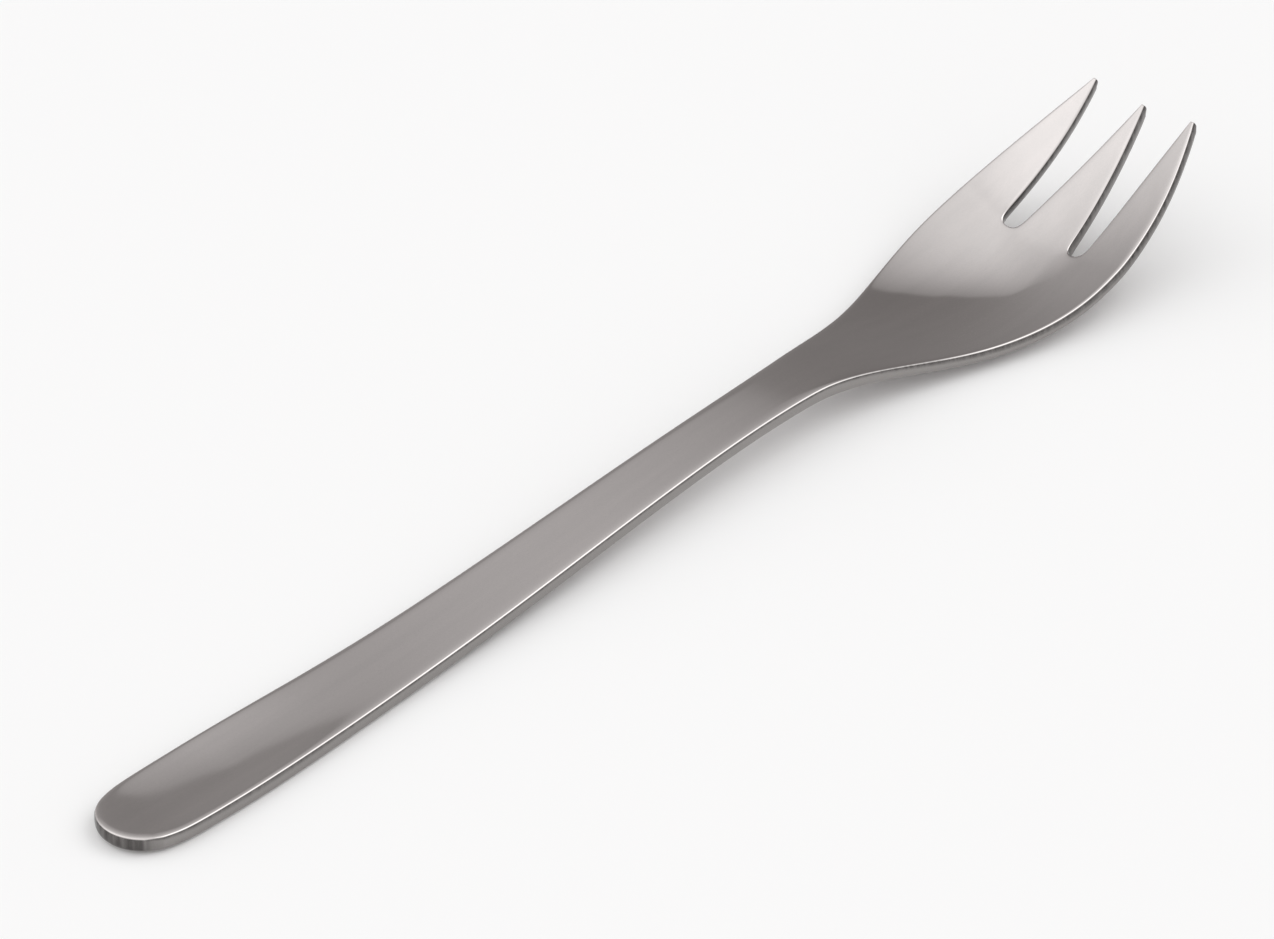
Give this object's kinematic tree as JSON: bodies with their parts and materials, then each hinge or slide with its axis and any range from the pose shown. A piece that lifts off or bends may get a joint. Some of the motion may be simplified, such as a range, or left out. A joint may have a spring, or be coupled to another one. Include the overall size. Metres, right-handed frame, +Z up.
{
  "type": "dinner fork",
  "caption": "Stamped stainless steel dinner fork with a flat rounded handle, an arched neck, a shallow dished head and short pointed tines, for spearing and lifting food.",
  "frame": {"origin": "on the table surface that the fork lies on, below the middle of its length and width", "axes": "+X along the fork from the handle end to the tine tips, +Y to the fork's left, +Z up out of the table, on the hollow side of the head"},
  "size_m": [0.2022, 0.0306, 0.0179],
  "materials": {
    "steel": "satin polished stainless steel, slightly warm grey"
  },
  "bodies": {
    "root": {"fork": "steel"}
  },
  "joints": []
}
